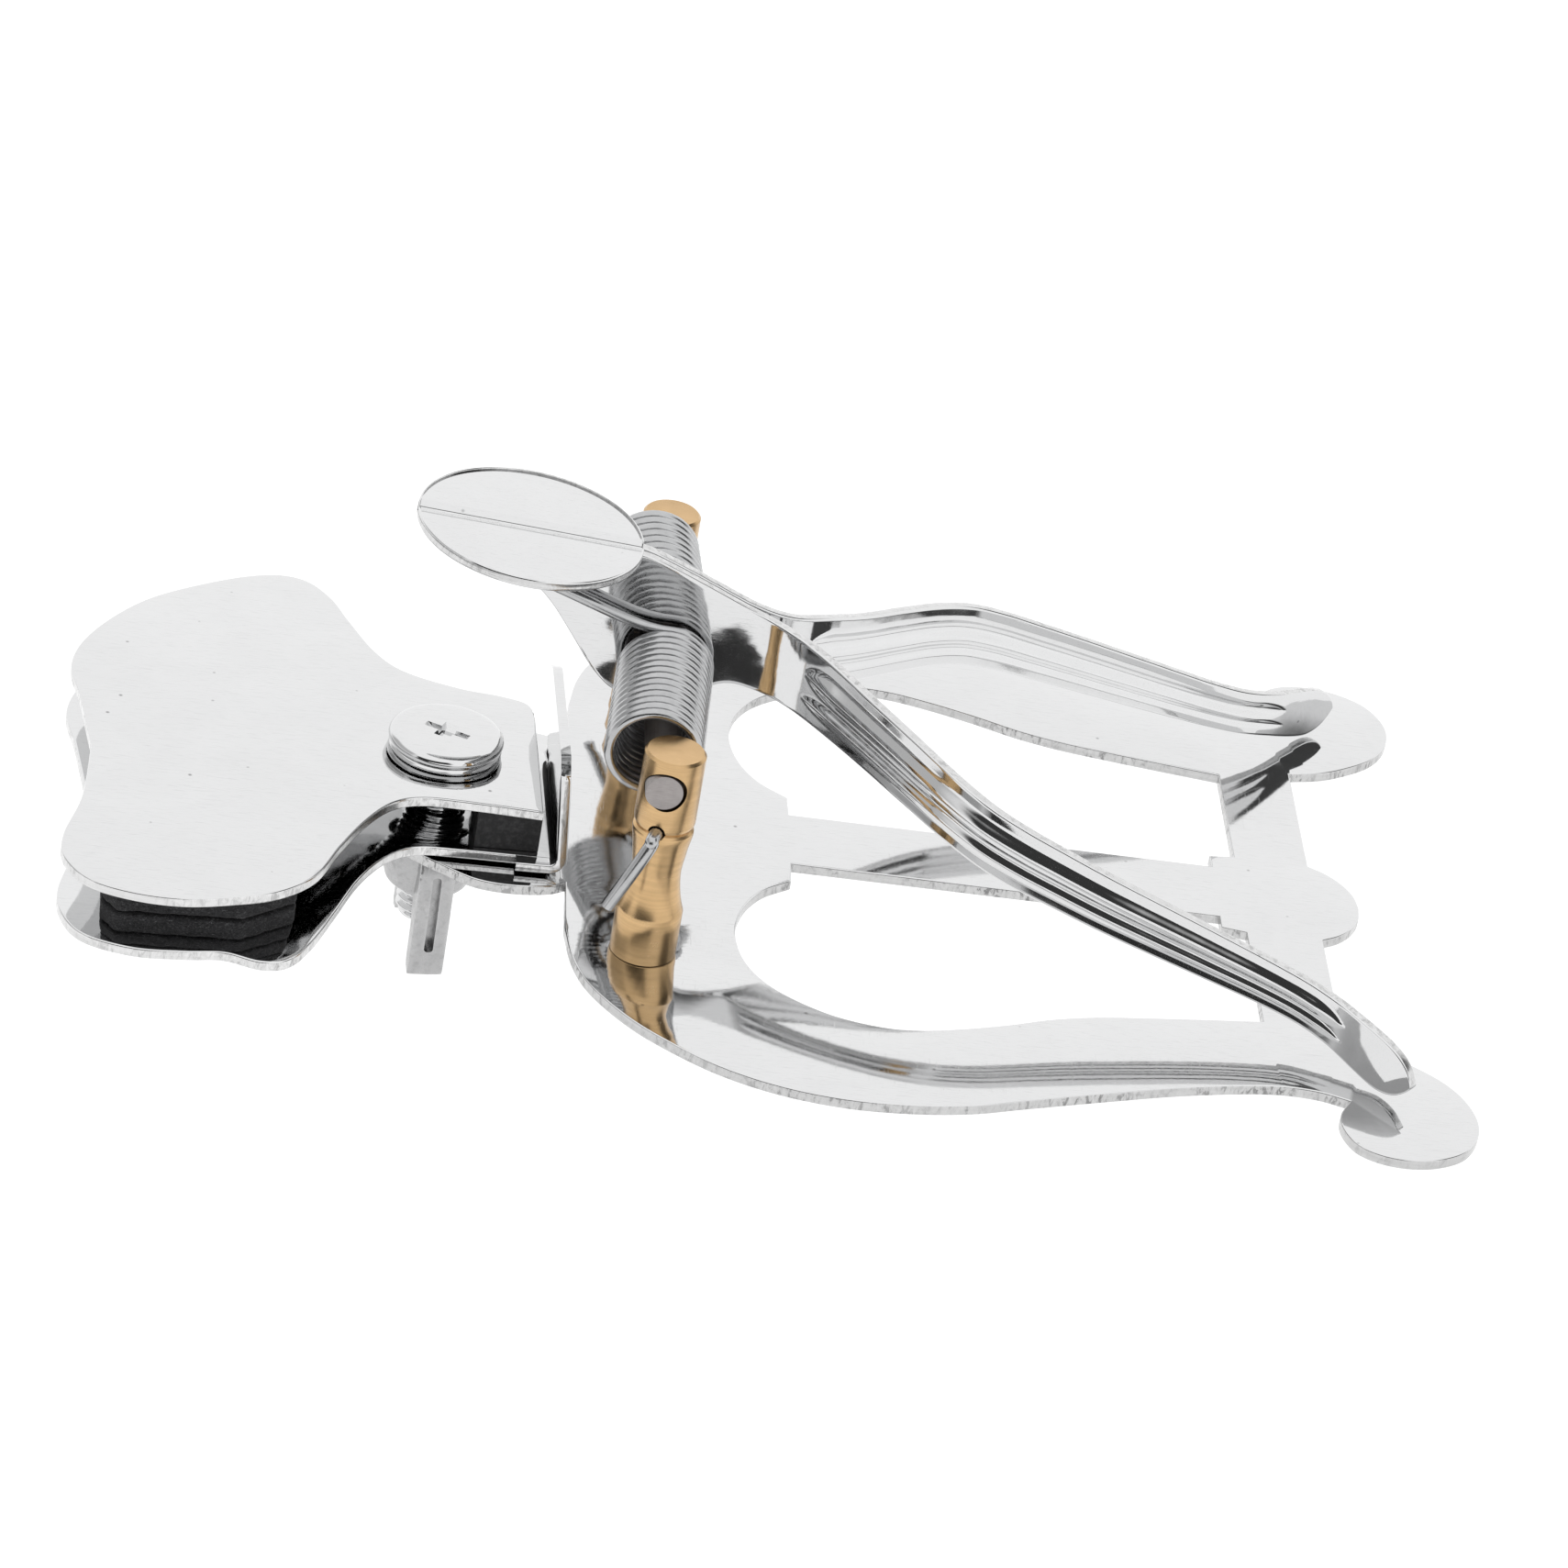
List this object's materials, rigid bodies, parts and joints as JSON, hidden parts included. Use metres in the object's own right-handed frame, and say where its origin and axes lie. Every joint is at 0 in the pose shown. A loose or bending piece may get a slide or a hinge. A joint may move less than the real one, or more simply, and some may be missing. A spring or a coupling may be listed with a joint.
{
  "type": "marching lyre music clip",
  "caption": "Flat lyre-shaped music rest with a sprung two-arm clip on brass posts and a felt-lined two-plate bell clamp closed by a screw and wing nut.",
  "frame": {"origin": "middle of the centre bar on the lyre plate's top face, where the sheet music rests", "axes": "+X from the bell clamp towards the two ears, +Z out of the lyre plate's top face, +Y across the lyre"},
  "size_m": [0.1188, 0.078, 0.0413],
  "materials": {
    "lyre_plate": "polished",
    "near_post": "turned",
    "far_post": "turned",
    "pivot_pin": "plain",
    "near_spring": "drawn wire",
    "far_spring": "drawn wire",
    "near_arm": "polished",
    "far_arm": "polished",
    "lower_plate": "polished",
    "upper_plate": "polished",
    "lower_felt": "felt",
    "upper_felt": "felt",
    "spacer": "plain",
    "screw": "polished",
    "washer": "polished",
    "wing_nut": "satin nickel"
  },
  "bodies": {
    "lyre": {"lyre_plate": "lyre_plate", "near_post": "near_post", "far_post": "far_post", "pivot_pin": "pivot_pin", "near_torsion_spring": "near_spring", "far_torsion_spring": "far_spring"},
    "clip_lever": {"near_clip_arm": "near_arm", "far_clip_arm": "far_arm"},
    "bell_clamp": {"lower_clamp_plate": "lower_plate", "lower_felt_pad": "lower_felt", "neck_spacer": "spacer"},
    "upper_jaw": {"upper_clamp_plate": "upper_plate", "upper_felt_pad": "upper_felt", "clamp_screw": "screw", "screw_washer": "washer"},
    "nut": {"wing_nut": "wing_nut"}
  },
  "joints": [
    {"name": "lever_pivot", "type": "hinge", "parent": "lyre", "child": "clip_lever", "pos_m": [-0.03159, 0, 0.0165], "axis": [0, -1, 0], "range_deg": [0, 28], "stiffness_Nm_per_rad": 0.2, "springref_deg": -57.3, "deforming": ["near_torsion_spring", "far_torsion_spring"]},
    {"name": "clamp_swivel", "type": "hinge", "parent": "lyre", "child": "bell_clamp", "pos_m": [-0.04897, -0.00188, 0], "axis": [0, 0, 1], "range_deg": [-45, 38]},
    {"name": "wing_nut_spin", "type": "hinge", "parent": "bell_clamp", "child": "nut", "pos_m": [-0.04897, -0.00188, 0], "axis": [0, 0, 1], "range_deg": [-140, 2256]},
    {"name": "jaw_slide", "type": "slide", "parent": "bell_clamp", "child": "upper_jaw", "axis": [0, 0, 1], "range_m": [-0.0003, 0.005]}
  ],
  "couplings": [
    {"joint": "wing_nut_spin", "follows": "jaw_slide", "rad_per_m": 7854}
  ]
}
